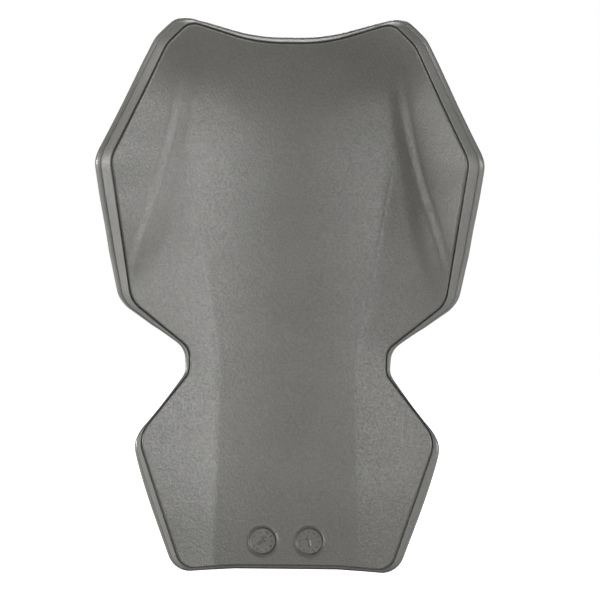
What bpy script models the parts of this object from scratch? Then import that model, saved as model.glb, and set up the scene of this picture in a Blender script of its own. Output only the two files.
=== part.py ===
"""Back protector insert: a soft impact pad that slides into the back pocket of a motorcycle jacket.

Seen from the wearer's side it is a shallow shell. Two shoulder-blade wings and two hip wings bend towards
the wearer from a spine panel, with a waist between them. It is a laminate. A comfort liner sits in the
rebate of a rim frame, seven core blocks that meet at the fold lines fill that frame, and one outer cover
closes the back.

Every layer follows one surface, the wearer's face of the pad. A place in the pad is a plan position (x, z)
on that face and a depth below it, along its normal. The frame has +X to the wearer's left seen from the
wearer's side, +Y out of the wearer's back and +Z up the spine. The origin is the centre of the flat land on
the outer cover, which is the most prominent place of the back.

Lengths are in millimetres until a mesh is written.
"""

import math

import bmesh
import bpy
from mathutils import Vector
from mathutils.geometry import delaunay_2d_cdt, intersect_point_line

MM = 0.001

# Layers, as depths below the wearer's face
LINER_THICKNESS = 4.0
CORE_THICKNESS = 8.4
COVER_THICKNESS = 6.8
GLUE_GAP = 0.9
CORE_FRONT = LINER_THICKNESS + GLUE_GAP
CORE_BACK = CORE_FRONT + CORE_THICKNESS
COVER_FRONT = CORE_BACK + GLUE_GAP
COVER_BACK = COVER_FRONT + COVER_THICKNESS

# Rim frame, as offsets from the groove that runs between it and the liner
GROOVE_HALF_WIDTH = 0.6
RIM_OUTSIDE = 1.7
LEDGE_WIDTH = 8.0

# The groove line's right half, from the neckline down: x, z, corner radius
NECK_Z = 409.6
BOTTOM_Z = 4.7
HALF_OUTLINE = (
    (26.0, NECK_Z, 130.0),  # the neckline starts to rise
    (77.5, 424.0, 13.0),  # top of the shoulder
    (94.7, 406.6, 28.0),  # outer corner of the shoulder
    (136.2, 318.0, 26.0),  # widest point, on the shoulder-blade wing
    (120.4, 209.0, 22.0),  # foot of the wing
    (76.2, 172.5, 14.0),  # waist, upper corner
    (76.2, 154.5, 12.0),  # waist, lower corner
    (114.9, 105.0, 24.0),  # hip wing
    (80.4, 2.0, 14.0),  # bottom corner
    (40.0, BOTTOM_Z, 60.0),  # the bottom edge arches up between the wings
)

# Shape of the wearer's face, by height: z, value
SPINE_PROFILE = ((0, 2.3), (60, 1.6), (120, -2.3), (200, -6.0), (325, -5.6), (395, 1.2), (430, 5.3))
PANEL_EDGE_SLOPE = ((0, 0.095), (110, 0.12), (215, 0.20), (300, 0.30), (430, 0.40))
WING_EXTRA_SLOPE = (
    (0, 0.165), (110, 0.17), (160, 0.10), (190, 0.15),
    (245, 0.13), (290, 0.155), (335, 0.12), (430, -0.05),
)
WING_CURVE = ((0, -0.0015), (120, -0.001), (200, 0.0025), (265, 0.0005), (330, -0.0025), (430, 0.0))
TIP_EXTRA_SLOPE = ((220, 0.26), (250, 0.26), (290, 0.32), (320, 0.36), (400, 0.25), (430, 0.22))

# How much the shoulders and the neck bend towards the wearer above the neck fold, by half width: x, slope
NECK_SLOPE = ((0, 0.16), (60, 0.19), (90, 0.21), (120, 0.14))

# How far the side wall leans outwards, per millimetre of depth, by height: z, lean
WALL_LEAN = (
    (0, 0.09), (50, 0.16), (80, 0.13), (97, 0.045), (114, -0.17), (160, -0.165), (186, -0.07), (214, -0.02),
    (234, 0.0), (253, 0.03), (290, 0.06), (310, 0.07), (331, 0.015), (370, -0.01), (400, -0.02), (430, -0.07),
)

# Fold lines of the right half, and how gently the inner layers turn at them
WAIST_Z = 163.0
PANEL_HALF_WIDTH = 53.5
PANEL_FLARE_UP = 0.1705
PANEL_FLARE_DOWN = 0.0185
TIP_FOLD_Z = 370.0
TIP_FOLD_X = 81.5
TIP_FOLD_LEAN = 0.19
TIP_FOLD_BEND = 0.00071
NECK_FOLD_Z = 376.0
NECK_FOLD_INNER = 25.0
NECK_FOLD_OUTER = 62.0
NECK_FOLD_RADIUS = 30.0
FOLD_RADIUS = 12.0

# Moulded date dials near the bottom of the liner: x, z
DIALS = ((-18.8, 23.3), (17.6, 23.3))
DIAL_RADIUS = 10.5
DIAL_DEPTH = 1.2
DIAL_WALL = 0.9

# Flat land on the outer cover, at the pad's most prominent place
LAND_Z = 235.0
LAND_HALF_WIDTH = 24.0
LAND_HALF_HEIGHT = 32.0
LAND_PROUD = 1.2
LAND_SLOPE_WIDTH = 4.0

# Mesh density
FINE_STEP = 12.0
COARSE_STEP = 13.0
OUTLINE_STEP = 10.0
ARC_STEP = math.radians(15)

# Core blocks
CORE_CLEARANCE = 0.6
CORE_SLIT = 1.0
PANEL_FOLD_TOP = 325.0
TIP_FOLD_FOOT = 215.0


# ---- Shape of the wearer's face ----


def smooth_step(start, end, value):
    t = min(max((value - start) / (end - start), 0.0), 1.0)
    return t * t * (3 - 2 * t)


def ramp(distance, radius):
    """0 before the fold and distance after it, with a rounded turn as wide as the radius on each side."""
    if distance <= -radius:
        return 0.0
    if distance >= radius:
        return distance
    return (distance + radius) ** 2 / (4 * radius)


def through(stations, z):
    """A smooth curve through (z, value) stations."""
    last = len(stations) - 1
    i = 0
    while i < last - 1 and z > stations[i + 1][0]:
        i += 1

    def slope(k):
        before, after = stations[max(k - 1, 0)], stations[min(k + 1, last)]
        return (after[1] - before[1]) / (after[0] - before[0])

    (z0, v0), (z1, v1) = stations[i], stations[i + 1]
    span = z1 - z0
    t = min(max((z - z0) / span, 0.0), 1.0)
    return (
        (2 * t**3 - 3 * t**2 + 1) * v0
        + (t**3 - 2 * t**2 + t) * span * slope(i)
        + (3 * t**2 - 2 * t**3) * v1
        + (t**3 - t**2) * span * slope(i + 1)
    )


def panel_edge(z):
    """Half width of the spine panel, where the wings fold up from it."""
    above, below = ramp(z - WAIST_Z, 8.0), ramp(WAIST_Z - z, 8.0)
    return PANEL_HALF_WIDTH + PANEL_FLARE_UP * above + PANEL_FLARE_DOWN * below


def tip_fold(z):
    """Where the outer part of a shoulder-blade wing folds up from its inner part."""
    drop = TIP_FOLD_Z - z
    return TIP_FOLD_X + TIP_FOLD_LEAN * drop + TIP_FOLD_BEND * drop * drop


def height(x, z):
    """How far the face stands towards the wearer."""
    side = abs(x)
    edge = panel_edge(z)
    within = min(side, edge)
    bowl = through(PANEL_EDGE_SLOPE, z) * (within**2 / (2 * edge) + side - within)
    wing = through(WING_EXTRA_SLOPE, z) * ramp(side - edge, FOLD_RADIUS)
    wing += through(WING_CURVE, z) * (side - within) ** 2 / 2
    tip = through(TIP_EXTRA_SLOPE, z) * ramp(side - tip_fold(z), FOLD_RADIUS)
    shoulder = smooth_step(NECK_FOLD_INNER, NECK_FOLD_OUTER, side)
    neck = through(NECK_SLOPE, side) * ramp(z - NECK_FOLD_Z, NECK_FOLD_RADIUS * (1 - 0.5 * shoulder))
    return through(SPINE_PROFILE, z) + bowl + wing + tip + neck


def place(x, z, depth):
    """World position of a plan position at a depth, in millimetres, still with z from the pad's foot."""
    reach = 0.5
    slope_x = (height(x + reach, z) - height(x - reach, z)) / (2 * reach)
    slope_z = (height(x, z + reach) - height(x, z - reach)) / (2 * reach)
    inward = Vector((slope_x, 1.0, slope_z)).normalized()
    return Vector((x, -height(x, z), z)) + depth * inward


ORIGIN = Vector((0.0, COVER_BACK + LAND_PROUD - height(0.0, LAND_Z), LAND_Z))


# ---- Plan outlines ----


def rounded(corners):
    """A closed outline through (x, z, radius) corners, each rounded by an arc."""
    points = []
    for i, (x, z, radius) in enumerate(corners):
        corner = Vector((x, z))
        before = (Vector(corners[i - 1][:2]) - corner).normalized()
        after = (Vector(corners[(i + 1) % len(corners)][:2]) - corner).normalized()
        opening = before.angle(after)
        turn = math.pi - opening
        centre = corner + (before + after).normalized() * radius / math.sin(opening / 2)
        start = corner + before * radius / math.tan(opening / 2) - centre
        side = 1.0 if before.cross(after) < 0 else -1.0
        steps = max(2, math.ceil(turn / ARC_STEP))
        for k in range(steps + 1):
            angle = side * turn * k / steps
            cosine, sine = math.cos(angle), math.sin(angle)
            arm = Vector((start.x * cosine - start.y * sine, start.x * sine + start.y * cosine))
            points.append(centre + arm)
    return points


def mirrored_outline():
    """The groove line, anticlockwise with +X to the right and +Z up."""
    right = list(HALF_OUTLINE)
    left = [(-x, z, radius) for x, z, radius in reversed(right)]
    return spaced(rounded((right + left)[::-1]))


def spaced(points):
    """The outline with its long stretches divided."""
    out = []
    for i, point in enumerate(points):
        ahead = points[(i + 1) % len(points)]
        parts = max(1, round((ahead - point).length / OUTLINE_STEP))
        out += [point.lerp(ahead, k / parts) for k in range(parts)]
    return out


def offset(outline, distance, depth=0.0):
    """The outline moved outwards by a distance, and by the side wall's lean at a depth."""
    out = []
    for i, point in enumerate(outline):
        before = (point - outline[i - 1]).normalized()
        after = (outline[(i + 1) % len(outline)] - point).normalized()
        along = (before + after).normalized()
        reach = distance + depth * through(WALL_LEAN, point.y)
        stretch = reach / max(along.dot(before), 0.5)
        out.append(point + stretch * Vector((along.y, -along.x)))
    return out


def inside(outline, point):
    crossings = 0
    for i, a in enumerate(outline):
        b = outline[i - 1]
        if (a.y > point.y) != (b.y > point.y):
            at = a.x + (point.y - a.y) * (b.x - a.x) / (b.y - a.y)
            crossings += at > point.x
    return crossings % 2 == 1


def clear_of(lines, point, distance):
    """Whether a point keeps its distance from every piece of the lines."""
    for line in lines:
        for a, b in zip(line, line[1:]):
            nearest, share = intersect_point_line(point, a, b)
            if share < 0:
                nearest = a.to_3d()
            elif share > 1:
                nearest = b.to_3d()
            if (nearest.xy - point).length < distance:
                return False
    return True


# ---- Solids ----


def plan_faces(outline, guides, step, clip=True):
    """Triangles over an outline, with mesh edges along the guides: plan points and index triples.

    The outline's own points come first, in their order. With clip, the guides stop short of it.
    """
    room = offset(outline, -0.45 * step)
    loop = outline + outline[:1]
    lines = list(guides)
    if clip:
        lines = [[p for p in line if inside(room, p)] for line in guides]
        lines = [line for line in lines if len(line) > 1]
    points = list(outline)
    edges = [(i, (i + 1) % len(outline)) for i in range(len(outline))]
    for line in lines:
        first = len(points)
        points += line
        edges += [(first + i, first + i + 1) for i in range(len(line) - 1)]
    xs = [p.x for p in outline]
    zs = [p.y for p in outline]
    rows = math.ceil((max(zs) - min(zs)) / step)
    columns = math.ceil(max(abs(min(xs)), abs(max(xs))) / step)
    for row in range(rows):
        for column in range(-columns, columns + 1):
            shift = 0.5 * (row % 2) * (1 if column >= 0 else -1)
            point = Vector(((column + shift) * step, min(zs) + (row + 0.5) * step))
            if inside(outline, point) and clear_of([loop] + lines, point, 0.45 * step):
                points.append(point)
    found, _, triangles, sources, _, _ = delaunay_2d_cdt(points, edges, [], 1, 1e-4)
    order = {source: i for i, members in enumerate(sources) for source in members}
    rest = [i for i in range(len(found)) if i not in {order[k] for k in range(len(outline))}]
    place_of = {order[k]: k for k in range(len(outline))}
    place_of.update({i: len(outline) + k for k, i in enumerate(rest)})
    plan = list(outline) + [Vector(found[i]) for i in rest]
    return plan, [tuple(place_of[i] for i in triangle) for triangle in triangles]


def material(name, colour, roughness):
    made = bpy.data.materials.new(name)
    made.use_nodes = True
    shader = made.node_tree.nodes["Principled BSDF"]
    shader.inputs["Base Color"].default_value = (*colour, 1.0)
    shader.inputs["Roughness"].default_value = roughness
    shader.inputs["Metallic"].default_value = 0.0
    return made


def add_object(name, shape, finish):
    """Moves a bmesh in millimetres to the part's origin, in metres, and makes it an object."""
    for vertex in shape.verts:
        vertex.co = (vertex.co - ORIGIN) * MM
    bmesh.ops.recalc_face_normals(shape, faces=shape.faces)
    mesh = bpy.data.meshes.new(name)
    shape.to_mesh(mesh)
    shape.free()
    mesh.shade_smooth()
    mesh.set_sharp_from_angle(angle=math.radians(35))
    mesh.materials.append(finish)
    made = bpy.data.objects.new(name, mesh)
    bpy.context.scene.collection.objects.link(made)
    return made


def slab(name, finish, outline, edge, step, front=None, back=None, guides=(), back_guides=None):
    """A closed slab. edge lists (offset, depth) from the front face's rim to the back face's rim.

    front and back give the world position of a plan point on those faces, where they aren't plain.
    """
    shape = bmesh.new()
    rings = []
    for k, (distance, depth) in enumerate(edge):
        rim = offset(outline, distance, depth)
        is_face = k in (0, len(edge) - 1)
        if not is_face:
            rings.append([shape.verts.new(place(p.x, p.y, depth)) for p in rim])
            continue
        lines = back_guides if k and back_guides is not None else guides
        where = (back if k else front) or (lambda x, z, d=depth: place(x, z, d))
        plan, triangles = plan_faces(rim, lines, step)
        face = [shape.verts.new(where(p.x, p.y)) for p in plan]
        for triangle in triangles:
            shape.faces.new([face[i] for i in triangle])
        rings.append(face[: len(rim)])
    for upper, lower in zip(rings, rings[1:]):
        for i in range(len(upper)):
            shape.faces.new((upper[i - 1], upper[i], lower[i], lower[i - 1]))
    return add_object(name, shape, finish)


def prism(name, finish, plan, triangles, front, back):
    """A closed slab over some of a plan's triangles, between two depths."""
    shape = bmesh.new()
    used = sorted({i for triangle in triangles for i in triangle})
    upper = {i: shape.verts.new(place(plan[i].x, plan[i].y, front)) for i in used}
    lower = {i: shape.verts.new(place(plan[i].x, plan[i].y, back)) for i in used}
    sides = {}
    for a, b, c in triangles:
        shape.faces.new((upper[a], upper[b], upper[c]))
        shape.faces.new((lower[c], lower[b], lower[a]))
        for start, end in ((a, b), (b, c), (c, a)):
            sides[start, end] = True
    for start, end in sides:
        if (end, start) not in sides:
            shape.faces.new((upper[end], upper[start], lower[start], lower[end]))
    return add_object(name, shape, finish)


def hoop(name, finish, outline, section):
    """A closed ring along the outline, with a section of (offset, depth) points. Its inner side doesn't lean."""
    shape = bmesh.new()
    rings = []
    for distance, depth in section:
        rim = offset(outline, distance, depth if distance > 0 else 0.0)
        rings.append([shape.verts.new(place(p.x, p.y, depth)) for p in rim])
    for k, ring in enumerate(rings):
        for i in range(len(ring)):
            shape.faces.new((rings[k - 1][i - 1], rings[k - 1][i], ring[i], ring[i - 1]))
    return add_object(name, shape, finish)


# ---- Guide lines ----


def up_line(x_of, low, high, side):
    count = max(2, round((high - low) / FINE_STEP))
    heights = [low + (high - low) * i / count for i in range(count + 1)]
    return [Vector((side * x_of(z), z)) for z in heights]


def fold_guides():
    lines = []
    for side in (-1, 1):
        lines.append(up_line(panel_edge, BOTTOM_Z, 330.0, side))
        lines.append(up_line(tip_fold, 225.0, NECK_Z, side))
    return lines


def circle(x, z, radius, count):
    turns = [2 * math.pi * i / count for i in range(count + 1)]
    return [Vector((x + radius * math.cos(a), z + radius * math.sin(a))) for a in turns]


def rectangle(half_width, half_height, centre_z):
    corners = ((-1, -1), (1, -1), (1, 1), (-1, 1), (-1, -1))
    return [Vector((sx * half_width, centre_z + sz * half_height)) for sx, sz in corners]


# ---- Sub-parts ----


def liner_front(x, z):
    """The wearer's face of the liner, with its two shallow dials."""
    depth = 0.0
    for dial_x, dial_z in DIALS:
        out = math.hypot(x - dial_x, z - dial_z)
        depth = max(depth, DIAL_DEPTH * smooth_step(DIAL_RADIUS, DIAL_RADIUS - DIAL_WALL, out))
    return place(x, z, depth)


def comfort_liner(outline):
    guides = fold_guides()
    for x, z in DIALS:
        guides.append(circle(x, z, DIAL_RADIUS, 20))
        guides.append(circle(x, z, DIAL_RADIUS - DIAL_WALL, 20))
    edge = (
        (-GROOVE_HALF_WIDTH - 0.5, 0.0),
        (-GROOVE_HALF_WIDTH, 0.5),
        (-GROOVE_HALF_WIDTH, LINER_THICKNESS),
    )
    finish = material("liner_foam", (0.17, 0.168, 0.155), 0.75)
    return slab(
        "comfort_liner", finish, outline, edge, FINE_STEP, front=liner_front, guides=guides,
        back_guides=fold_guides(),
    )


def rim_frame(outline):
    inside_lip, outside = GROOVE_HALF_WIDTH, RIM_OUTSIDE
    section = (
        (inside_lip, CORE_FRONT),
        (inside_lip, 0.5),
        (inside_lip + 0.4, 0.1),
        (outside - 0.4, 0.3),
        (outside, 1.2),
        (outside + 0.3, 0.5 * CORE_BACK),
        (outside, CORE_BACK - 0.6),
        (outside - 0.6, CORE_BACK),
        (-LEDGE_WIDTH, CORE_BACK),
        (-LEDGE_WIDTH, CORE_FRONT),
    )
    return hoop("rim_frame", material("rim_foam", (0.19, 0.188, 0.175), 0.7), outline, section)


def core_zone(x, z):
    """Which block of the core holds a plan position. Wearer's left is +X."""
    side = "left" if x > 0 else "right"
    out = abs(x)
    if z > TIP_FOLD_FOOT and out > tip_fold(z):
        return "outer_wing_core_" + side
    if z > PANEL_FOLD_TOP or out < panel_edge(z):
        return "spine_core"
    return ("inner_wing_core_" if z > WAIST_Z else "hip_core_") + side


def core_slits():
    """Both sides of every slit between two blocks, as plan lines."""
    lines = []
    for side in (-1, 1):
        for shift in (-CORE_SLIT / 2, CORE_SLIT / 2):
            lines.append(up_line(lambda z, d=shift: panel_edge(z) + d, -9.0, PANEL_FOLD_TOP, side))
            lines.append(up_line(lambda z, d=shift: tip_fold(z) + d, TIP_FOLD_FOOT, 440.0, side))
            for z, low, high in (
                (WAIST_Z, panel_edge(WAIST_Z), 90.0),
                (PANEL_FOLD_TOP, panel_edge(PANEL_FOLD_TOP), tip_fold(PANEL_FOLD_TOP)),
            ):
                lines.append([Vector((side * low, z + shift)), Vector((side * high, z + shift))])
    return lines


def in_slit(x, z):
    out = abs(x)
    near = CORE_SLIT / 2
    if z < PANEL_FOLD_TOP + near and abs(out - panel_edge(z)) < near:
        return True
    if z > TIP_FOLD_FOOT and abs(out - tip_fold(z)) < near:
        return True
    if abs(z - WAIST_Z) < near and out > panel_edge(z):
        return True
    return abs(z - PANEL_FOLD_TOP) < near and panel_edge(z) < out < tip_fold(z)


def core_blocks(outline):
    """The core, as blocks that meet at slits along the fold lines."""
    finish = material("core_foam", (0.05, 0.05, 0.052), 0.8)
    rim = offset(outline, -LEDGE_WIDTH - CORE_CLEARANCE)
    plan, triangles = plan_faces(rim, core_slits(), COARSE_STEP, clip=False)
    zones = {}
    for triangle in triangles:
        centre = sum((plan[i] for i in triangle), Vector((0.0, 0.0))) / 3
        if inside(rim, centre) and not in_slit(centre.x, centre.y):
            zones.setdefault(core_zone(centre.x, centre.y), []).append(triangle)
    for name, block in sorted(zones.items()):
        prism(name, finish, plan, block, CORE_FRONT, CORE_BACK)


def land_back(x, z):
    """The cover's outer face, with a flat land that stands a little proud."""
    plain = place(x, z, COVER_BACK)
    out_x = (abs(x) - LAND_HALF_WIDTH) / LAND_SLOPE_WIDTH
    out_z = (abs(z - LAND_Z) - LAND_HALF_HEIGHT) / LAND_SLOPE_WIDTH
    share = min(max(1 - max(out_x, out_z), 0.0), 1.0)
    return plain + Vector((0.0, share * (ORIGIN.y - plain.y), 0.0))


def outer_cover(outline):
    guides = fold_guides()
    land = rectangle(LAND_HALF_WIDTH, LAND_HALF_HEIGHT, LAND_Z)
    border = rectangle(LAND_HALF_WIDTH + LAND_SLOPE_WIDTH, LAND_HALF_HEIGHT + LAND_SLOPE_WIDTH, LAND_Z)
    edge = (
        (RIM_OUTSIDE - 0.6, COVER_FRONT),
        (RIM_OUTSIDE + 0.2, COVER_FRONT + 0.9),
        (RIM_OUTSIDE + 0.2, COVER_BACK - 2.3),
        (RIM_OUTSIDE, COVER_BACK - 1.1),
        (RIM_OUTSIDE - 2.6, COVER_BACK),
    )
    finish = material("cover_foam", (0.15, 0.148, 0.138), 0.7)
    return slab(
        "outer_cover", finish, outline, edge, COARSE_STEP, back=land_back, guides=guides,
        back_guides=guides + [land, border],
    )


def main():
    for old in list(bpy.data.objects):
        bpy.data.objects.remove(old, do_unlink=True)
    outline = mirrored_outline()
    comfort_liner(outline)
    rim_frame(outline)
    core_blocks(outline)
    outer_cover(outline)


main()
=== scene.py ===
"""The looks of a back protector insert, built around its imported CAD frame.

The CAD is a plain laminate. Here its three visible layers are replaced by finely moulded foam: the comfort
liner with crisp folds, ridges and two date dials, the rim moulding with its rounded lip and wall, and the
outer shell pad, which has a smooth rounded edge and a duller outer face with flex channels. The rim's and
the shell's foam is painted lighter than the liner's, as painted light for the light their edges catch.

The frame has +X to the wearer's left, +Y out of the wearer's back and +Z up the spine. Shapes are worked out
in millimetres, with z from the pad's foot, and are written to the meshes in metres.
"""

import math

import bpy
import numpy as np
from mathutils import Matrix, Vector
from mathutils.geometry import delaunay_2d_cdt
from mathutils.kdtree import KDTree

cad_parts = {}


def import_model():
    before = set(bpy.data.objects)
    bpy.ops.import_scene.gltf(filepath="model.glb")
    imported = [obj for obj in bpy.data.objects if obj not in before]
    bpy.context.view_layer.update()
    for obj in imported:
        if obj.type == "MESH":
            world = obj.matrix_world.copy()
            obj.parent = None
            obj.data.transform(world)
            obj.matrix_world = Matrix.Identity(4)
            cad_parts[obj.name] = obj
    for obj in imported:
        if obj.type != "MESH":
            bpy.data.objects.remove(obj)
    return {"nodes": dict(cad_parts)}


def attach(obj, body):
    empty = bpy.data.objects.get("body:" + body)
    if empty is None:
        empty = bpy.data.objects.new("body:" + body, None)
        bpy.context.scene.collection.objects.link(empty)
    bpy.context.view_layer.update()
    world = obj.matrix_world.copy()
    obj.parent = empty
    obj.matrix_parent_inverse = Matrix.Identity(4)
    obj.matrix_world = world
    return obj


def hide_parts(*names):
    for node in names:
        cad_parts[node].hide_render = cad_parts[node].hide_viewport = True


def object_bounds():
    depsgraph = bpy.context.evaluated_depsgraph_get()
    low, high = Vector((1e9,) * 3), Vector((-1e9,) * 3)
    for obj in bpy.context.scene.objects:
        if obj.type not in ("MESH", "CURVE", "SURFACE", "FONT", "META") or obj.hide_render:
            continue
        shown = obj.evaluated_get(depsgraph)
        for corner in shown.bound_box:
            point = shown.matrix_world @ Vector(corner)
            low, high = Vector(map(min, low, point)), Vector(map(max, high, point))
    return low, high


MM = 0.001

# Layers, as depths below the wearer's face
LINER_THICKNESS = 4.0
CORE_THICKNESS = 8.4
COVER_THICKNESS = 6.8
GLUE_GAP = 0.9
CORE_FRONT = LINER_THICKNESS + GLUE_GAP
CORE_BACK = CORE_FRONT + CORE_THICKNESS
COVER_FRONT = CORE_BACK + GLUE_GAP
COVER_BACK = COVER_FRONT + COVER_THICKNESS

# The groove line's right half, from the neckline down: x, z, corner radius
NECK_Z = 409.6
BOTTOM_Z = 4.7
HALF_OUTLINE = (
    (26.0, NECK_Z, 130.0),
    (77.5, 424.0, 13.0),
    (94.7, 406.6, 28.0),
    (136.2, 318.0, 26.0),
    (120.4, 209.0, 22.0),
    (76.2, 172.5, 14.0),
    (76.2, 154.5, 12.0),
    (114.9, 105.0, 24.0),
    (80.4, 2.0, 14.0),
    (40.0, BOTTOM_Z, 60.0),
)

# Shape of the wearer's face, by height: z, value
SPINE_PROFILE = ((0, 2.3), (60, 1.6), (120, -2.3), (200, -6.0), (325, -5.6), (395, 1.2), (430, 5.3))
PANEL_EDGE_SLOPE = ((0, 0.095), (110, 0.12), (215, 0.20), (300, 0.30), (430, 0.40))
WING_EXTRA_SLOPE = (
    (0, 0.165), (110, 0.17), (160, 0.10), (190, 0.15),
    (245, 0.13), (290, 0.155), (335, 0.12), (430, -0.05),
)
WING_CURVE = ((0, -0.0015), (120, -0.001), (200, 0.0025), (265, 0.0005), (330, -0.0025), (430, 0.0))
TIP_EXTRA_SLOPE = ((220, 0.26), (250, 0.26), (290, 0.32), (320, 0.36), (400, 0.25), (430, 0.22))

# How much the shoulders and the neck bend towards the wearer above the neck fold, by half width: x, slope
NECK_SLOPE = ((0, 0.16), (60, 0.19), (90, 0.21), (120, 0.14))

# How far the side wall leans outwards, per millimetre of depth, by height: z, lean
WALL_LEAN = (
    (0, 0.09), (50, 0.16), (80, 0.13), (97, 0.045), (114, -0.17), (160, -0.165), (186, -0.07), (214, -0.02),
    (234, 0.0), (253, 0.03), (290, 0.06), (310, 0.07), (331, 0.015), (370, -0.01), (400, -0.02),
    (430, -0.07),
)

# Fold lines of the right half
WAIST_Z = 163.0
PANEL_HALF_WIDTH = 53.5
PANEL_FLARE_UP = 0.1705
PANEL_FLARE_DOWN = 0.0185
TIP_FOLD_Z = 370.0
TIP_FOLD_X = 81.5
TIP_FOLD_LEAN = 0.19
TIP_FOLD_BEND = 0.00071
NECK_FOLD_Z = 376.0
NECK_FOLD_INNER = 25.0
NECK_FOLD_OUTER = 62.0
NECK_FOLD_RADIUS = 30.0
SHOULDER_TIGHTENING = 0.5
FOLD_RADIUS = 12.0
WAIST_BLEND = 8.0

# Half the distance over which the face's slope is measured
SLOPE_REACH = 0.5

# Relief on the liner: how tightly its folds turn, and the ridge along the tip fold. By height: z, value
PANEL_CREASE_RADIUS = ((0, 2.2), (180, 2.2), (270, 2.5), (305, 6.0), (330, 12.0), (430, 12.0))
TIP_CREASE_RADIUS = ((0, 4.0), (350, 4.0), (430, 7.0))
TIP_CREASE_SHIFT = 4.0
BEAD_HEIGHT = ((0, 0.0), (160, 0.05), (190, 0.12), (230, 0.18), (295, 0.2), (322, 0.0), (430, 0.0))
BEAD_SHIFT = 0.4
BEAD_RADIUS = 1.4
RIDGE_HEIGHT = (
    (0, 0.0), (203, 0.2), (226, 1.2), (240, 2.9), (255, 3.7), (280, 2.8), (300, 2.1), (320, 2.1), (345, 2.1),
    (370, 1.3), (388, 0.4), (430, 0.1),
)
RIDGE_SHIFT = (
    (0, -6.0), (225, -4.0), (238, -2.4), (250, -1.4), (270, -0.5), (290, -0.8), (318, -0.6), (350, -0.2),
    (375, 1.2), (430, 2.0),
)
RISER_WIDTH = ((0, 18), (226, 18), (255, 18), (280, 15), (300, 11.5), (320, 10), (345, 9), (430, 8))
CREST_TOP = 1.5
CREST_WIDTH = 8.5
CREST_ROUNDING = 0.04
CREST_ROUND_WIDTH = 1.6
CREST_FALL = ((0, 0.2), (235, 0.28), (262, 0.38), (300, 0.8), (430, 0.9))
RELIEF_FADE = 9.0

# Dials moulded into the liner: x, z and the way the arrow points, in degrees from +X. Then a dial's own
# sizes, where a pair gives the start and the end of a smooth step
DIALS = ((-18.2, 24.0, 35.0), (18.0, 24.0, 100.0))
DIAL_RADIUS = 10.6
DIAL_LIP_HEIGHT = 0.7
DIAL_LIP_OUT = 0.6
DIAL_LIP_WIDTH = 0.7
DIAL_DEPTH = 1.2
DIAL_WALL_TOP = DIAL_RADIUS + 0.3
DIAL_WALL_FOOT = DIAL_RADIUS - 1.2
DIAL_FLOOR_RADIUS = DIAL_RADIUS - 1.4
ARROW_HEIGHT = 0.6
ARROW_SHAFT_WIDTH = (1.3, 0.2)
ARROW_SHAFT_LENGTH = (4.4, 3.9)
ARROW_HEAD_TAPER = 0.75
ARROW_HEAD_APEX = 4.6
ARROW_HEAD_SLOPE = 0.5
ARROW_HEAD_START = (1.4, 1.8)
ARROW_HEAD_END = (4.9, 4.4)
TICK_ANGLE = 30.0
TICK_HEIGHT = 0.4
TICK_RADIUS = 7.6
TICK_REACH = 0.7
TICK_WIDTH = (0.55, 0.2)
TICK_END = (0.3, 0.0)

# How far the frame's origin lies outside the shell pad
ORIGIN_DROP = 1.2

# Sections of the layers' edges, as (offset from the groove line, depth)
LEDGE_WIDTH = 8.0
LINER_EDGE = (
    (-1.5, 0.0), (-0.95, 0.12), (-0.65, 0.4), (-0.5, 0.8), (-0.42, 1.5), (-0.4, LINER_THICKNESS),
)
# The rim's closed section, from the groove's floor over the lip and down the wall to the ledge
RIM_SECTION = (
    (0.05, CORE_FRONT),
    (-0.1, 2.0), (0.1, 1.7), (0.4, 1.4), (0.6, 1.15), (0.8, 1.05), (0.95, 1.25), (1.0, 1.9),
    (1.0, 6.5), (1.0, 11.3), (0.95, 12.4), (0.7, 13.1), (0.35, 13.5),
    (0.1, CORE_BACK + 0.4), (-LEDGE_WIDTH, CORE_BACK), (-LEDGE_WIDTH, CORE_FRONT),
)
SHELL_EDGE = (
    (-0.4, COVER_FRONT),
    (0.45, COVER_FRONT + 0.15),
    (1.15, COVER_FRONT + 0.6),
    (1.65, COVER_FRONT + 1.3),
    (1.9, COVER_FRONT + 2.2),
    (1.95, COVER_FRONT + 3.2),
    (1.85, COVER_FRONT + 4.3),
    (1.55, COVER_BACK - 1.3),
    (0.6, COVER_BACK - 0.4),
    (-1.2, COVER_BACK),
)

# The shell pad's outer side: a flat land over the spine, and flex channels
LAND_Z = 235.0
LAND_HALF_WIDTH = 24.0
LAND_HALF_HEIGHT = 32.0
LAND_SLOPE_WIDTH = 4.0
CHANNEL_DEPTH = 1.8
CHANNEL_WIDTH = 2.6
CROSS_CHANNELS = (50.0, 88.0, 126.0, 163.0, 300.0, 336.0, 372.0)
# Where the channels start: from no depth to their full depth, by height
FOOT_START = (14.0, 34.0)
NECK_START = (404.0, 388.0)
PANEL_CHANNEL_START = (345.0, 325.0)
TIP_CHANNEL_START = (220.0, 242.0)
# The same for the channels that run across, by distance outwards from the fold beside them
WAIST_CHANNEL_START = (-2.0, 2.0)
CROSS_CHANNEL_START = (-1.0, -7.0)
# The outer face's own material starts where the shell turns this far backwards
BACK_FACING = 0.2

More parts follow.
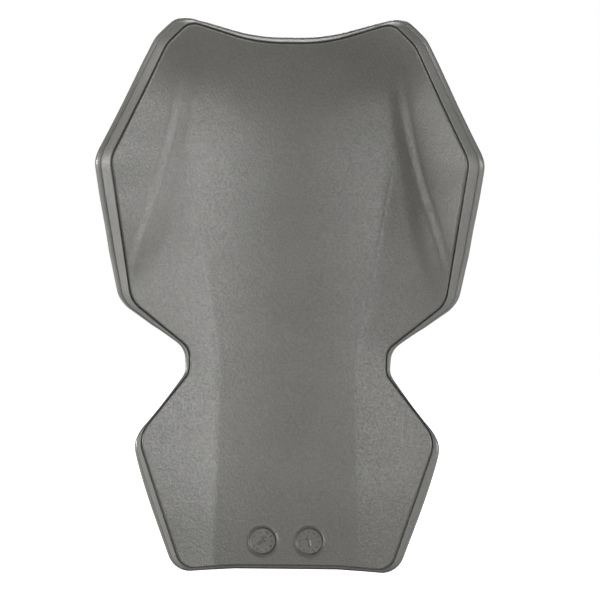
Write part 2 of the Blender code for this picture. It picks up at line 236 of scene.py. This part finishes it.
# Meshes: steps between points, and lines along the folds that the liner's mesh follows
OUTLINE_STEP = 2.2
ARC_STEP = math.radians(5)
LINER_STEP = 2.1
DIAL_STEP = 0.31
DIAL_MARGIN = 2.0
SHELL_STEP = 1.7
HIDDEN_STEP = 9.0
EDGE_ROOM = 0.5
GRID_CLEARANCE = 0.55
CORNER_STRETCH_LIMIT = 0.5
TRIANGLES_INSIDE = 1
SAME_POINT = 1e-5
SHARP_ANGLE = math.radians(40.0)
GUIDE_STEP = 2.0
PANEL_GUIDE_SHIFTS = (-3.2, -1.9, -0.9, 0.0, 0.8, 1.7, 3.0)
PANEL_GUIDE_RUN = (0.0, 325.0)
TIP_GUIDE_SHIFTS = (-7.0, -3.5, 0.0, 4.0, 8.0, 12.0)
TIP_GUIDE_RUN = (215.0, 425.0)
LAND_GUIDE_POINTS = (19, 25)

# Foam colours, and the scales and shares of its tones
LINER_DARK = (0.034, 0.0331, 0.0291)
LINER_LIGHT = (0.067, 0.0653, 0.0575)
# The rim's and the shell's tones are about twice as light as the liner's, though the pad is one foam colour:
# painted light for the side light that the rim's wall and the shell's rounded edge catch
RIM_PAINTED_SHEEN_DARK = (0.076, 0.0750, 0.0705)
RIM_PAINTED_SHEEN_LIGHT = (0.112, 0.1105, 0.1040)
# Shell tones painted lighter than the liner's: a painted highlight for the light its rounded edge catches
SHELL_PAINTED_SHEEN_DARK = (0.082, 0.0809, 0.0755)
SHELL_PAINTED_SHEEN_LIGHT = (0.118, 0.1163, 0.1087)
CORE_DARK = (0.020, 0.020, 0.021)
CORE_LIGHT = (0.035, 0.035, 0.036)
GRAIN_SCALE = 540.0
FINE_SCALE = 1500.0
CLOUD_SCALE = 28.0
GRAIN_SHARE = 0.5
FINE_SHARE = 0.25
CLOUD_SHARE = 0.25
NOISE_SPREAD = (0.3, 0.7)
FINE_HEIGHT = 0.6
GRAIN_DEPTH = 0.00012
ROUGHNESS_SPREAD = 0.07

# Studio, in metres. Each softbox has a name, an azimuth, an elevation, a size and a power in watts
SOFTBOXES = (
    ("side_right", 75.0, 5.0, 1.6, 127.0),
    ("outer_right", 55.0, 5.0, 1.6, 47.0),
    ("front_right", 35.0, 5.0, 1.6, 71.0),
    ("middle_right", 26.0, 5.0, 1.6, 79.0),
    ("near_right", 10.0, 5.0, 1.6, 33.0),
    ("near_left", -10.0, 5.0, 1.6, 22.0),
    ("middle_left", -26.0, 5.0, 1.6, 69.0),
    ("front_left", -35.0, 5.0, 1.6, 30.0),
    ("side_left", -75.0, 5.0, 1.6, 17.0),
    ("edge_left", -87.0, 5.0, 0.6, 310.0),
    ("top", 0.0, 80.0, 1.6, 30.0),
    ("behind_high", 180.0, 40.0, 1.6, 100.0),
    ("behind_low", 180.0, -20.0, 1.6, 30.0),
)
SOFTBOX_DISTANCE = 5.0
FLOOR_REACH = 6.0
FLOOR_DROP = 0.0005
FLOOR_WHITE = 0.9
FLOOR_ROUGHNESS = 0.9
CAMERA_DISTANCE = 2.4
CAMERA_X = 0.0089
CAMERA_Z = -0.0239
CAMERA_ROLL = math.radians(-0.6)
CAMERA_CLIP = (0.1, 30.0)
FRAME_WIDTH = 0.4656
SENSOR = 36.0


# ---- The wearer's face ----


def through(stations, z):
    """A smooth curve through (z, value) stations, for an array of heights."""
    at, value = np.array(stations, float).T
    last = len(at) - 1
    before = np.maximum(np.arange(last + 1) - 1, 0)
    after = np.minimum(np.arange(last + 1) + 1, last)
    slope = (value[after] - value[before]) / (at[after] - at[before])
    i = np.clip(np.searchsorted(at, z) - 1, 0, last - 1)
    span = at[i + 1] - at[i]
    t = np.clip((z - at[i]) / span, 0.0, 1.0)
    return (
        (2 * t**3 - 3 * t**2 + 1) * value[i]
        + (t**3 - 2 * t**2 + t) * span * slope[i]
        + (3 * t**2 - 2 * t**3) * value[i + 1]
        + (t**3 - t**2) * span * slope[i + 1]
    )


def smooth_step(start, end, value):
    """0 at the start and 1 at the end, with no sudden turn. The end may be the smaller number."""
    t = np.clip((value - start) / (end - start), 0.0, 1.0)
    return t * t * (3 - 2 * t)


def ramp(distance, radius):
    """0 before a fold and distance after it, with a rounded turn as wide as the radius on each side."""
    turn = (distance + radius) ** 2 / (4 * radius)
    return np.where(distance <= -radius, 0.0, np.where(distance >= radius, distance, turn))


def panel_edge(z):
    """The half width at which the spine panel ends."""
    above, below = ramp(z - WAIST_Z, WAIST_BLEND), ramp(WAIST_Z - z, WAIST_BLEND)
    return PANEL_HALF_WIDTH + PANEL_FLARE_UP * above + PANEL_FLARE_DOWN * below


def tip_fold(z):
    """The half width at which a shoulder wing's tip folds."""
    drop = TIP_FOLD_Z - z
    return TIP_FOLD_X + TIP_FOLD_LEAN * drop + TIP_FOLD_BEND * drop * drop


def height(x, z):
    """How far the CAD's face stands towards the wearer."""
    side = np.abs(x)
    edge = panel_edge(z)
    within = np.minimum(side, edge)
    bowl = through(PANEL_EDGE_SLOPE, z) * (within**2 / (2 * edge) + side - within)
    wing = through(WING_EXTRA_SLOPE, z) * ramp(side - edge, FOLD_RADIUS)
    wing += through(WING_CURVE, z) * (side - within) ** 2 / 2
    tip = through(TIP_EXTRA_SLOPE, z) * ramp(side - tip_fold(z), FOLD_RADIUS)
    shoulder = smooth_step(NECK_FOLD_INNER, NECK_FOLD_OUTER, side)
    neck_radius = NECK_FOLD_RADIUS * (1 - SHOULDER_TIGHTENING * shoulder)
    neck = through(NECK_SLOPE, side) * ramp(z - NECK_FOLD_Z, neck_radius)
    return through(SPINE_PROFILE, z) + bowl + wing + tip + neck


def relief(x, z):
    """What the moulded liner adds to the CAD's face: crisp folds, a bead along the panel, tip ridges."""
    side = np.abs(x)
    from_panel = side - panel_edge(z)
    crisp = ramp(from_panel, through(PANEL_CREASE_RADIUS, z)) - ramp(from_panel, FOLD_RADIUS)
    added = through(WING_EXTRA_SLOPE, z) * crisp
    added += through(BEAD_HEIGHT, z) * np.exp(-(((from_panel - BEAD_SHIFT) / BEAD_RADIUS) ** 2))
    from_tip = side - tip_fold(z)
    crisp = ramp(from_tip - TIP_CREASE_SHIFT, through(TIP_CREASE_RADIUS, z)) - ramp(from_tip, FOLD_RADIUS)
    added += through(TIP_EXTRA_SLOPE, z) * crisp
    from_ridge = from_tip - through(RIDGE_SHIFT, z)
    climb = np.clip(1.0 + from_ridge / through(RISER_WIDTH, z), 0.0, 1.0)
    rise = climb**2 - CREST_ROUNDING * smooth_step(-CREST_ROUND_WIDTH, 0.0, from_ridge)
    rise += CREST_ROUNDING * smooth_step(0.0, CREST_ROUND_WIDTH, from_ridge)
    fall = through(CREST_FALL, z) * smooth_step(CREST_TOP, CREST_TOP + CREST_WIDTH, from_ridge)
    added += through(RIDGE_HEIGHT, z) * (rise - fall)
    return added


def place(x, z, depth, sunk=0.0):
    """World positions, in millimetres, of plan positions at depths below the wearer's face.

    The relief fades with depth. sunk moves a position further in and leaves its relief as it is.
    """
    slope_x = (height(x + SLOPE_REACH, z) - height(x - SLOPE_REACH, z)) / (2 * SLOPE_REACH)
    slope_z = (height(x, z + SLOPE_REACH) - height(x, z - SLOPE_REACH)) / (2 * SLOPE_REACH)
    length = np.sqrt(1 + slope_x**2 + slope_z**2)
    shown = relief(x, z) * np.clip(1 - depth / RELIEF_FADE, 0.0, 1.0)
    along = (depth + sunk) / length
    return np.stack((x + along * slope_x, -height(x, z) - shown + along, z + along * slope_z), 1)


def origin():
    """Where the frame's origin is, in this script's millimetres: on the land's plane, below its middle."""
    top = height(np.array([0.0]), np.array([LAND_Z]))[0]
    return np.array((0.0, COVER_BACK + ORIGIN_DROP - top, LAND_Z))


# ---- Plan outlines ----


def rounded(corners):
    """A closed outline through (x, z, radius) corners, each rounded by an arc."""
    points = []
    for i, (x, z, radius) in enumerate(corners):
        corner = Vector((x, z))
        before = (Vector(corners[i - 1][:2]) - corner).normalized()
        after = (Vector(corners[(i + 1) % len(corners)][:2]) - corner).normalized()
        opening = before.angle(after)
        turn = math.pi - opening
        centre = corner + (before + after).normalized() * radius / math.sin(opening / 2)
        start = corner + before * radius / math.tan(opening / 2) - centre
        side = 1.0 if before.cross(after) < 0 else -1.0
        steps = max(2, math.ceil(max(turn / ARC_STEP, turn * radius / OUTLINE_STEP)))
        for k in range(steps + 1):
            angle = side * turn * k / steps
            cosine, sine = math.cos(angle), math.sin(angle)
            arm = Vector((start.x * cosine - start.y * sine, start.x * sine + start.y * cosine))
            points.append(centre + arm)
    return points


def groove_line():
    """The groove line as an array of (x, z), anticlockwise with +X to the right and +Z up."""
    left = [(-x, z, radius) for x, z, radius in reversed(HALF_OUTLINE)]
    corners = (list(HALF_OUTLINE) + left)[::-1]
    points = rounded(corners)
    out = []
    for i, point in enumerate(points):
        ahead = points[(i + 1) % len(points)]
        parts = max(1, round((ahead - point).length / OUTLINE_STEP))
        out += [tuple(point.lerp(ahead, k / parts)) for k in range(parts)]
    return np.array(out)


def outward(outline):
    """The outward direction at each point, stretched at corners so that offsets keep their distance."""
    before = outline - np.roll(outline, 1, 0)
    after = np.roll(outline, -1, 0) - outline
    before /= np.linalg.norm(before, axis=1)[:, None]
    after /= np.linalg.norm(after, axis=1)[:, None]
    along = before + after
    along /= np.linalg.norm(along, axis=1)[:, None]
    stretch = 1 / np.maximum((along * before).sum(1), CORNER_STRETCH_LIMIT)
    return np.stack((along[:, 1], -along[:, 0]), 1) * stretch[:, None]


def offset(outline, distance, depth=0.0):
    """The outline moved outwards by a distance, and by the side wall's lean at a depth."""
    reach = distance + depth * through(WALL_LEAN, outline[:, 1])
    return outline + outward(outline) * np.reshape(reach, (-1, 1))


def inside(outline, points):
    """Which points lie inside a closed outline."""
    found = np.zeros(len(points), bool)
    for (ax, az), (bx, bz) in zip(outline, np.roll(outline, 1, 0)):
        if az == bz:
            continue
        crosses = (az > points[:, 1]) != (bz > points[:, 1])
        at = ax + (points[:, 1] - az) * (bx - ax) / (bz - az)
        found ^= crosses & (at > points[:, 0])
    return found


def tree_of(points):
    """A search tree over plan points."""
    tree = KDTree(len(points))
    for i, (x, z) in enumerate(points):
        tree.insert((x, z, 0.0), i)
    tree.balance()
    return tree


def hex_grid(low, high, step):
    """Plan points in rows that are half a step out of line with each other, over a box."""
    rows = np.arange(low[1], high[1], step * math.sqrt(3) / 2)
    columns = np.arange(math.floor(low[0] / step) - 1, math.ceil(high[0] / step) + 1)
    xs = np.concatenate([(columns + 0.5 * (i % 2)) * step for i in range(len(rows))])
    return np.stack((xs, np.repeat(rows, len(columns))), 1)


def plan_faces(outline, guides, step, zones=()):
    """Triangles over an outline, with mesh edges along the guides: plan points and index triples.

    The outline's own points come first, in their order. A zone is (x, z, radius, step) with a finer grid.
    """
    room = offset(outline, -EDGE_ROOM * step)
    points = [tuple(p) for p in outline]
    count = len(points)
    edges = [(i, (i + 1) % count) for i in range(count)]
    for line in guides:
        keep = inside(room, line)
        previous = None
        for point, kept in zip(line, keep):
            if kept:
                points.append(tuple(point))
                if previous is not None:
                    edges.append((previous, len(points) - 1))
            previous = len(points) - 1 if kept else None
    fixed = tree_of(points)
    low, high = outline.min(0), outline.max(0)
    coarse = hex_grid(low, high, step)
    fine_grids = []
    for x, z, radius, fine in zones:
        coarse = coarse[np.hypot(coarse[:, 0] - x, coarse[:, 1] - z) > radius]
        small = hex_grid((x - radius, z - radius), (x + radius, z + radius), fine)
        fine_grids.append((small[np.hypot(small[:, 0] - x, small[:, 1] - z) <= radius], fine))
    for grid, spacing in [(coarse, step), *fine_grids]:
        grid = grid[inside(room, grid)]
        points += [tuple(p) for p in grid if fixed.find((*p, 0.0))[2] > GRID_CLEARANCE * spacing]
    vectors = [Vector(p) for p in points]
    made = delaunay_2d_cdt(vectors, edges, [], TRIANGLES_INSIDE, SAME_POINT)
    found, _, triangles, sources, _, _ = made
    order = {source: i for i, members in enumerate(sources) for source in members}
    first = [order[k] for k in range(count)]
    taken = set(first)
    rest = [i for i in range(len(found)) if i not in taken]
    new = {old: k for k, old in enumerate(first + rest)}
    plan = np.array([tuple(found[i]) for i in first + rest])
    return plan, [tuple(new[i] for i in triangle) for triangle in triangles]


# ---- Meshes ----


def add_object(name, spots, faces, finish):
    """A piece from world positions in millimetres and from faces, with its outward side found."""
    mesh = bpy.data.meshes.new(name)
    mesh.from_pydata(((spots - ORIGIN) * MM).tolist(), [], faces)
    mesh.update()
    volume = 0.0
    mesh.calc_loop_triangles()
    for triangle in mesh.loop_triangles:
        a, b, c = (mesh.vertices[i].co for i in triangle.vertices)
        volume += a.dot(b.cross(c))
    if volume < 0:
        mesh.flip_normals()
    mesh.shade_smooth()
    mesh.set_sharp_from_angle(angle=SHARP_ANGLE)
    mesh.materials.append(finish)
    piece = bpy.data.objects.new(name, mesh)
    bpy.context.scene.collection.objects.link(piece)
    return piece


def bands(rings):
    """Quads between closed rings of equal length, given as index lists."""
    faces = []
    for upper, lower in zip(rings, rings[1:]):
        for i in range(len(upper)):
            faces.append((upper[i - 1], upper[i], lower[i], lower[i - 1]))
    return faces


def slab(name, finish, outline, edge, front, back):
    """A closed slab. edge lists (offset, depth) from the front rim to the back rim.

    front and back are (function from plan points to spots, guides, step, zones) for those two faces.
    """
    spots, faces, rings, count = [], [], [], 0
    for k, (distance, depth) in enumerate(edge):
        rim = offset(outline, distance, depth)
        if k not in (0, len(edge) - 1):
            spots.append(place(rim[:, 0], rim[:, 1], depth))
            rings.append(list(range(count, count + len(rim))))
            count += len(rim)
            continue
        where, guides, step, zones = front if k == 0 else back
        plan, triangles = plan_faces(rim, guides, step, zones)
        spots.append(where(plan[:, 0], plan[:, 1]))
        turn = 1 if k == 0 else -1
        faces += [tuple(count + i for i in triangle[::turn]) for triangle in triangles]
        rings.append(list(range(count, count + len(rim))))
        count += len(plan)
    return add_object(name, np.concatenate(spots), faces + bands(rings), finish)


def hoop(name, finish, outline, section):
    """A closed ring along the outline, with a section of (offset, depth) points."""
    spots, rings = [], []
    for k, (distance, depth) in enumerate(section):
        rim = offset(outline, distance, depth if distance > 0 else 0.0)
        spots.append(place(rim[:, 0], rim[:, 1], depth))
        rings.append(list(range(k * len(rim), (k + 1) * len(rim))))
    return add_object(name, np.concatenate(spots), bands(rings + rings[:1]), finish)


# ---- Materials ----


def foam(name, dark, light, roughness, grain, specular=0.5):
    """A moulded closed-cell foam skin: fine speckle, soft mottling and a shallow grain, in two tones."""
    made = bpy.data.materials.new(name)
    made.use_nodes = True
    nodes, links = made.node_tree.nodes, made.node_tree.links
    shader = nodes["Principled BSDF"]
    shader.inputs["Specular IOR Level"].default_value = specular
    where = nodes.new("ShaderNodeTexCoord")

    def mapped(value, low, high, to_low, to_high):
        node = nodes.new("ShaderNodeMapRange")
        sockets = ("From Min", "From Max", "To Min", "To Max")
        for socket, number in zip(sockets, (low, high, to_low, to_high)):
            node.inputs[socket].default_value = number
        links.new(value, node.inputs["Value"])
        return node.outputs["Result"]

    def noise(scale, detail, rough):
        """Noise from 0 to 1."""
        node = nodes.new("ShaderNodeTexNoise")
        node.inputs["Scale"].default_value = scale
        node.inputs["Detail"].default_value = detail
        node.inputs["Roughness"].default_value = rough
        links.new(where.outputs["Object"], node.inputs["Vector"])
        return mapped(node.outputs["Fac"], *NOISE_SPREAD, 0.0, 1.0)

    def maths(operation, first, second):
        node = nodes.new("ShaderNodeMath")
        node.operation = operation
        for socket, value in zip(node.inputs, (first, second)):
            if isinstance(value, float):
                socket.default_value = value
            else:
                links.new(value, socket)
        return node.outputs["Value"]

    speckle = noise(GRAIN_SCALE, detail=2.0, rough=0.6)
    fine = noise(FINE_SCALE, detail=1.0, rough=0.5)
    cloud = noise(CLOUD_SCALE, detail=3.0, rough=0.55)
    tone = maths("ADD", maths("MULTIPLY", speckle, GRAIN_SHARE), maths("MULTIPLY", fine, FINE_SHARE))
    tone = maths("ADD", tone, maths("MULTIPLY", cloud, CLOUD_SHARE))
    mix = nodes.new("ShaderNodeMix")
    mix.data_type = "RGBA"
    mix.inputs["A"].default_value = (*dark, 1.0)
    mix.inputs["B"].default_value = (*light, 1.0)
    links.new(tone, mix.inputs["Factor"])
    links.new(mix.outputs["Result"], shader.inputs["Base Color"])
    shine = mapped(speckle, 0.0, 1.0, roughness + ROUGHNESS_SPREAD, roughness - ROUGHNESS_SPREAD)
    links.new(shine, shader.inputs["Roughness"])
    bump = nodes.new("ShaderNodeBump")
    bump.inputs["Strength"].default_value = grain
    bump.inputs["Distance"].default_value = GRAIN_DEPTH
    links.new(maths("ADD", speckle, maths("MULTIPLY", fine, FINE_HEIGHT)), bump.inputs["Height"])
    links.new(bump.outputs["Normal"], shader.inputs["Normal"])
    return made


# ---- Guides ----


def up_line(x_of, run, side, shift):
    """Plan points that follow a fold upwards on one side, shifted outwards."""
    low, high = run
    heights = np.linspace(low, high, round((high - low) / GUIDE_STEP))
    return np.stack((side * (x_of(heights) + shift), heights), 1)


def fold_guides():
    """Lines along the panel's and the tips' folds."""
    lines = []
    for side in (-1, 1):
        lines += [up_line(panel_edge, PANEL_GUIDE_RUN, side, shift) for shift in PANEL_GUIDE_SHIFTS]
        lines += [up_line(tip_fold, TIP_GUIDE_RUN, side, shift) for shift in TIP_GUIDE_SHIFTS]
    return lines


# ---- Pieces ----


def dial_relief(x, z):
    """How deep a dial lies below the liner's face: a lipped well, with raised ticks and an arrow."""
    depth = np.zeros_like(x)
    for dial_x, dial_z, angle in DIALS:
        dx, dz = x - dial_x, z - dial_z
        out = np.hypot(dx, dz)
        lip = DIAL_LIP_HEIGHT * np.exp(-(((out - DIAL_RADIUS - DIAL_LIP_OUT) / DIAL_LIP_WIDTH) ** 2))
        wall = DIAL_DEPTH * smooth_step(DIAL_WALL_TOP, DIAL_WALL_FOOT, out)
        turn = math.radians(angle)
        along = dx * math.cos(turn) + dz * math.sin(turn)
        across = np.abs(-dx * math.sin(turn) + dz * math.cos(turn))
        shaft = smooth_step(*ARROW_SHAFT_WIDTH, across) * smooth_step(*ARROW_SHAFT_LENGTH, np.abs(along))
        head = smooth_step(ARROW_HEAD_SLOPE, 0.0, across - ARROW_HEAD_TAPER * (ARROW_HEAD_APEX - along))
        head *= smooth_step(*ARROW_HEAD_START, along) * smooth_step(*ARROW_HEAD_END, along)
        arrow = ARROW_HEIGHT * np.maximum(shaft, head)
        turns = np.degrees(np.arctan2(dz, dx)) / TICK_ANGLE
        off = np.abs(turns - np.round(turns)) * math.radians(TICK_ANGLE) * out
        tick = smooth_step(*TICK_WIDTH, off) * smooth_step(*TICK_END, np.abs(out - TICK_RADIUS) - TICK_REACH)
        marks = np.maximum(arrow, TICK_HEIGHT * tick)
        depth += wall - lip - np.where(out < DIAL_FLOOR_RADIUS, marks, 0.0)
    return depth


def liner_face(x, z):
    """The wearer's face, with its relief and its dials."""
    return place(x, z, 0.0, sunk=dial_relief(x, z))


def comfort_liner(outline):
    """The soft pad inside the groove, with the dials near its foot."""
    finish = foam("liner_skin_foam", LINER_DARK, LINER_LIGHT, roughness=0.36, grain=0.5)
    zones = [(x, z, DIAL_RADIUS + DIAL_MARGIN, DIAL_STEP) for x, z, _ in DIALS]
    front = (liner_face, fold_guides(), LINER_STEP, zones)
    back = (lambda x, z: place(x, z, LINER_THICKNESS), (), HIDDEN_STEP, ())
    return slab("liner_skin", finish, outline, LINER_EDGE, front, back)


def rim_moulding(outline):
    """The raised edge outside the groove, with its ledge under the liner. Its foam is painted lighter, a
    painted sheen.
    """
    # Rim tones painted lighter than the liner's: painted sheen for the light its wall catches
    finish = foam("rim_painted_sheen_foam", RIM_PAINTED_SHEEN_DARK, RIM_PAINTED_SHEEN_LIGHT, roughness=0.58, grain=0.3)
    return hoop("rim_moulding", finish, outline, RIM_SECTION)


def channel(distance):
    """A channel's depth across it, from 0 to 1."""
    return np.exp(-((distance / CHANNEL_WIDTH) ** 2))


def flex_channels(x, z):
    """How deep the flex channels in the shell pad are, along the folds and across the spine."""
    side = np.abs(x)
    from_panel = side - panel_edge(z)
    from_tip = side - tip_fold(z)
    between = smooth_step(*FOOT_START, z) * smooth_step(*NECK_START, z)
    across = smooth_step(*CROSS_CHANNEL_START, np.maximum(from_panel, from_tip))
    cuts = [
        channel(from_panel) * between * smooth_step(*PANEL_CHANNEL_START, z),
        channel(from_tip) * between * smooth_step(*TIP_CHANNEL_START, z),
        channel(z - WAIST_Z) * smooth_step(*WAIST_CHANNEL_START, from_panel),
        *(channel(z - level) * across for level in CROSS_CHANNELS),
    ]
    return CHANNEL_DEPTH * np.maximum.reduce(cuts)


def shell_back(x, z):
    """The outer face of the shell pad, with its channels and with a flat land that stands a little proud."""
    spots = place(x, z, COVER_BACK - flex_channels(x, z))
    out_x = (np.abs(x) - LAND_HALF_WIDTH) / LAND_SLOPE_WIDTH
    out_z = (np.abs(z - LAND_Z) - LAND_HALF_HEIGHT) / LAND_SLOPE_WIDTH
    share = np.clip(1 - np.maximum(out_x, out_z), 0.0, 1.0)
    spots[:, 1] += share * (ORIGIN[1] - spots[:, 1])
    return spots


def land_guides():
    """Lines along the land's edge and along the foot of its slope."""
    across, up = LAND_GUIDE_POINTS
    lines = []
    for extra in (0.0, LAND_SLOPE_WIDTH):
        half_x, half_z = LAND_HALF_WIDTH + extra, LAND_HALF_HEIGHT + extra
        for sign in (-1, 1):
            run = np.linspace(-half_x, half_x, across)
            lines.append(np.stack((run, np.full_like(run, LAND_Z + sign * half_z)), 1))
            run = np.linspace(-half_z, half_z, up)[1:-1]
            lines.append(np.stack((np.full_like(run, sign * half_x), LAND_Z + run), 1))
    return lines


def outer_shell(outline):
    """The outer pad: a smooth rounded edge, and a duller outer face. Its foam is painted lighter, a painted
    highlight.
    """
    # The shell's lighter tones are painted light, standing in for the highlight along its rounded edge
    finish = foam("shell_painted_sheen_foam", SHELL_PAINTED_SHEEN_DARK, SHELL_PAINTED_SHEEN_LIGHT, roughness=0.32, grain=0.3)
    front = (lambda x, z: place(x, z, COVER_FRONT), (), HIDDEN_STEP, ())
    back = (shell_back, land_guides(), SHELL_STEP, ())
    piece = slab("outer_shell", finish, outline, SHELL_EDGE, front, back)
    # The outer face keeps the shell's painted lighter tones, only rougher
    dull = foam("shell_back_painted_sheen_foam", SHELL_PAINTED_SHEEN_DARK, SHELL_PAINTED_SHEEN_LIGHT, roughness=0.85, grain=0.3, specular=0.12)
    piece.data.materials.append(dull)
    for face in piece.data.polygons:
        face.material_index = int(face.normal.y > BACK_FACING)
    return piece


# ---- Studio ----


def camera_only(tree):
    """A strength of 1 where the camera sees a surface, and of 0 where it would light the pad."""
    path = tree.nodes.new("ShaderNodeLightPath")
    mix = tree.nodes.new("ShaderNodeMix")
    mix.inputs["A"].default_value = 0.0
    mix.inputs["B"].default_value = 1.0
    tree.links.new(path.outputs["Is Camera Ray"], mix.inputs["Factor"])
    return mix.outputs["Result"]


def stage_floor(foot):
    """A wide white floor that glows to the camera, so that it meets the backdrop without a line."""
    finish = bpy.data.materials.new("studio_white")
    finish.use_nodes = True
    tree = finish.node_tree
    shader = tree.nodes["Principled BSDF"]
    shader.inputs["Base Color"].default_value = (FLOOR_WHITE, FLOOR_WHITE, FLOOR_WHITE, 1.0)
    shader.inputs["Roughness"].default_value = FLOOR_ROUGHNESS
    shader.inputs["Emission Color"].default_value = (1.0, 1.0, 1.0, 1.0)
    tree.links.new(camera_only(tree), shader.inputs["Emission Strength"])
    mesh = bpy.data.meshes.new("studio_floor")
    corners = [(x * FLOOR_REACH, y * FLOOR_REACH, foot) for x, y in ((-1, -1), (1, -1), (1, 1), (-1, 1))]
    mesh.from_pydata(corners, [], [(0, 1, 2, 3)])
    mesh.materials.append(finish)
    floor = bpy.data.objects.new("studio_floor", mesh)
    bpy.context.scene.collection.objects.link(floor)


def softbox(name, azimuth, elevation, size, power):
    """A square softbox aimed at the pad. Azimuth 0 is the camera's side, and 90 is the wearer's left."""
    data = bpy.data.lights.new(name, "AREA")
    data.shape = "RECTANGLE"
    data.size = data.size_y = size
    data.energy = power
    lamp = bpy.data.objects.new(name, data)
    around, up = math.radians(azimuth), math.radians(elevation)
    aim = Vector((math.sin(around) * math.cos(up), -math.cos(around) * math.cos(up), math.sin(up)))
    lamp.location = SOFTBOX_DISTANCE * aim
    lamp.rotation_euler = (-aim).to_track_quat("-Z", "Y").to_euler()
    bpy.context.scene.collection.objects.link(lamp)


def camera(face_y):
    """A long lens straight in front of the wearer's face, rolled a little."""
    data = bpy.data.cameras.new("camera")
    data.sensor_width = SENSOR
    data.lens = SENSOR * CAMERA_DISTANCE / FRAME_WIDTH
    data.clip_start, data.clip_end = CAMERA_CLIP
    made = bpy.data.objects.new("camera", data)
    made.location = (CAMERA_X, face_y - CAMERA_DISTANCE, CAMERA_Z)
    made.rotation_euler = (math.pi / 2, CAMERA_ROLL, 0.0)
    bpy.context.scene.collection.objects.link(made)
    bpy.context.scene.camera = made


def world():
    """A backdrop that the camera sees as white and that lights nothing."""
    made = bpy.data.worlds.new("studio")
    made.use_nodes = True
    background = made.node_tree.nodes["Background"]
    background.inputs["Color"].default_value = (1.0, 1.0, 1.0, 1.0)
    made.node_tree.links.new(camera_only(made.node_tree), background.inputs["Strength"])
    bpy.context.scene.world = made


# ---- Scene ----

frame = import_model()
cad_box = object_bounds()
ORIGIN = origin()
outline = groove_line()
liner = comfort_liner(outline)
rim = rim_moulding(outline)
shell = outer_shell(outline)
core = foam("core_block_foam", CORE_DARK, CORE_LIGHT, roughness=0.7, grain=0.4)
for node, piece in frame["nodes"].items():
    if "core" in node:
        piece.data.materials.clear()
        piece.data.materials.append(core)
for piece, node, slot in (
    (liner, "comfort_liner", "liner_foam"),
    (rim, "rim_frame", "rim_foam"),
    (shell, "outer_cover", "cover_foam"),
):
    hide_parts(node)
    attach(piece, "root")

stage_floor(cad_box[0].z - FLOOR_DROP)
camera(float(-ORIGIN[1] * MM))
for box in SOFTBOXES:
    softbox(*box)
world()
bpy.context.scene.view_settings.view_transform = "Standard"
